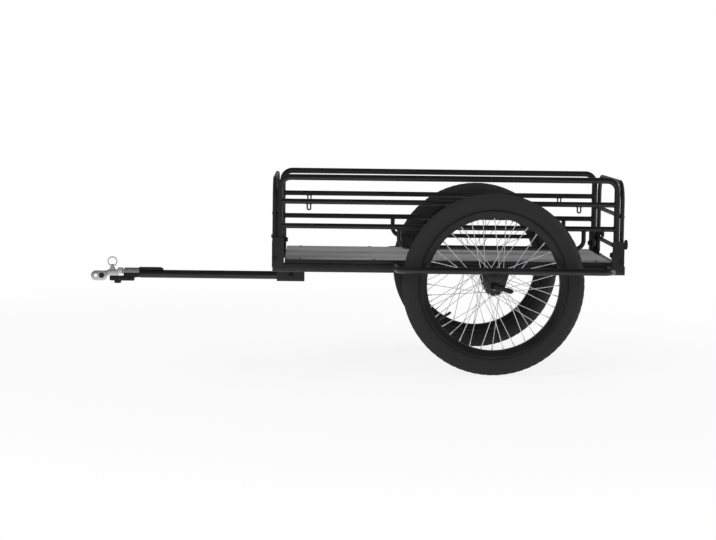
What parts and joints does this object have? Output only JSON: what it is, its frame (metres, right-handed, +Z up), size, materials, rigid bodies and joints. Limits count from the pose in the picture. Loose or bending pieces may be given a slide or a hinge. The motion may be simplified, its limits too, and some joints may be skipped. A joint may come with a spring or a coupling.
{
  "type": "bicycle cargo trailer",
  "caption": "Two-wheeled flat cargo trailer with fold-down tube sides, spoked wheels and a drawbar hitch for a bicycle's rear axle.",
  "frame": {"origin": "on the ground under the middle of the trailer's overall length and width, wheels standing on Z = 0", "axes": "+X from the hitch towards the tailgate, along the trailer; +Y across the trailer, to the right-hand wheel as the bicycle rides; +Z up"},
  "size_m": [1.5515, 0.7706, 0.5572],
  "materials": {
    "black_paint": "satin black paint on steel tube and plate",
    "deck_board": "dark grey sealed board, matte",
    "tyre_rubber": "matte black",
    "tube_rubber": "matte black",
    "rim_black": "black anodised, satin",
    "spoke_steel": "bright drawn wire",
    "zinc": "zinc plated, satin",
    "chrome": "bright plated",
    "black_zinc": "black zinc, satin",
    "knob_plastic": "matte black"
  },
  "bodies": {
    "frame": {"axle_left": "zinc", "axle_nut_left": "black_zinc", "axle_nut_right": "black_zinc", "axle_right": "zinc", "base_rail_left": "black_paint", "base_rail_right": "black_paint", "corner_bracket_front_left": "black_paint", "corner_bracket_front_right": "black_paint", "corner_bracket_rear_left": "black_paint", "corner_bracket_rear_right": "black_paint", "deck_bearer_front": "black_paint", "deck_bearer_rear": "black_paint", "deck_panel": "deck_board", "drawbar_end": "black_zinc", "end_hinge_bolt_front_left": "black_zinc", "end_hinge_bolt_front_right": "black_zinc", "end_hinge_bolt_rear_left": "black_zinc", "end_hinge_bolt_rear_right": "black_zinc", "front_cross_rail": "black_paint", "inner_dropout_left": "black_paint", "inner_dropout_right": "black_paint", "jaw_bolt": "black_zinc", "rear_cross_rail": "black_paint", "receiver": "black_paint", "side_hinge_bolt_front_left": "black_zinc", "side_hinge_bolt_front_right": "black_zinc", "side_hinge_bolt_rear_left": "black_zinc", "side_hinge_bolt_rear_right": "black_zinc", "tow_bar": "black_paint", "wheel_bar_left": "black_paint", "wheel_bar_right": "black_paint"},
    "front_panel": {"front_panel": "black_paint", "lock_screw_front_left": "black_zinc", "lock_screw_front_right": "black_zinc"},
    "tailgate": {"tailgate": "black_paint"},
    "receiver_pin": {"receiver_pin": "black_zinc"},
    "coupler": {"coupler_block": "zinc", "pitch_bolt": "black_zinc"},
    "axle_plate": {"axle_plate": "zinc"},
    "hitch_pin": {"hitch_pin": "zinc"},
    "pull_ring": {"pull_ring": "chrome"},
    "wheel_left": {"tyre_left": "tyre_rubber", "inner_tube_left": "tube_rubber", "rim_left": "rim_black", "hub_and_spokes_left": "spoke_steel", "bearing_left_inner": "zinc", "bearing_left_outer": "zinc"},
    "axle_lever_left": {"axle_lever_left": "black_zinc"},
    "side_panel_left": {"side_panel_left": "black_paint"},
    "lock_knob_left": {"lock_knob_left": "knob_plastic"},
    "wheel_right": {"tyre_right": "tyre_rubber", "inner_tube_right": "tube_rubber", "rim_right": "rim_black", "hub_and_spokes_right": "spoke_steel", "bearing_right_inner": "zinc", "bearing_right_outer": "zinc"},
    "axle_lever_right": {"axle_lever_right": "black_zinc"},
    "side_panel_right": {"side_panel_right": "black_paint"},
    "lock_knob_right": {"lock_knob_right": "knob_plastic"}
  },
  "joints": [
    {"name": "wheel_spin_left", "type": "hinge", "parent": "frame", "child": "wheel_left", "pos_m": [0.38645, -0.31, 0.257], "axis": [0, 1, 0], "continuous": true},
    {"name": "wheel_spin_right", "type": "hinge", "parent": "frame", "child": "wheel_right", "pos_m": [0.38645, 0.31, 0.257], "axis": [0, 1, 0], "continuous": true},
    {"name": "axle_lever_open_left", "type": "hinge", "parent": "frame", "child": "axle_lever_left", "pos_m": [0.38645, -0.3763, 0.257], "axis": [-0.2588, 0, -0.9659], "range_deg": [0, 120]},
    {"name": "axle_lever_open_right", "type": "hinge", "parent": "frame", "child": "axle_lever_right", "pos_m": [0.38645, 0.3763, 0.257], "axis": [0.2588, 0, 0.9659], "range_deg": [0, 120]},
    {"name": "side_panel_fold_left", "type": "hinge", "parent": "frame", "child": "side_panel_left", "pos_m": [0.38645, -0.2245, 0.3365], "axis": [-1, 0, 0], "range_deg": [0, 90]},
    {"name": "side_panel_fold_right", "type": "hinge", "parent": "frame", "child": "side_panel_right", "pos_m": [0.38645, 0.2245, 0.3365], "axis": [1, 0, 0], "range_deg": [0, 90]},
    {"name": "front_panel_fold", "type": "hinge", "parent": "frame", "child": "front_panel", "pos_m": [-0.2311, 0, 0.318], "axis": [0, -1, 0], "range_deg": [0, 95]},
    {"name": "tailgate_fold", "type": "hinge", "parent": "frame", "child": "tailgate", "pos_m": [0.759, 0, 0.318], "axis": [0, 1, 0], "range_deg": [0, 110]},
    {"name": "lock_knob_pull_left", "type": "slide", "parent": "tailgate", "child": "lock_knob_left", "axis": [1, 0, 0], "range_m": [0, 0.01]},
    {"name": "lock_knob_pull_right", "type": "slide", "parent": "tailgate", "child": "lock_knob_right", "axis": [1, 0, 0], "range_m": [0, 0.01]},
    {"name": "receiver_pin_pull", "type": "slide", "parent": "frame", "child": "receiver_pin", "axis": [0, -1, 0], "range_m": [0, 0.05]},
    {"name": "hitch_yaw", "type": "hinge", "parent": "frame", "child": "coupler", "pos_m": [-0.71355, 0, 0.2585], "axis": [0, 0, 1], "range_deg": [-75, 75]},
    {"name": "axle_plate_pitch", "type": "hinge", "parent": "coupler", "child": "axle_plate", "pos_m": [-0.74395, 0, 0.2425], "axis": [0, 1, 0], "range_deg": [-35, 35]},
    {"name": "hitch_pin_lift", "type": "slide", "parent": "frame", "child": "hitch_pin", "axis": [0, 0, 1], "range_m": [0, 0.045]},
    {"name": "pull_ring_swing", "type": "hinge", "parent": "hitch_pin", "child": "pull_ring", "pos_m": [-0.71355, 0, 0.27], "axis": [1, 0, 0], "range_deg": [-90, 90]}
  ]
}
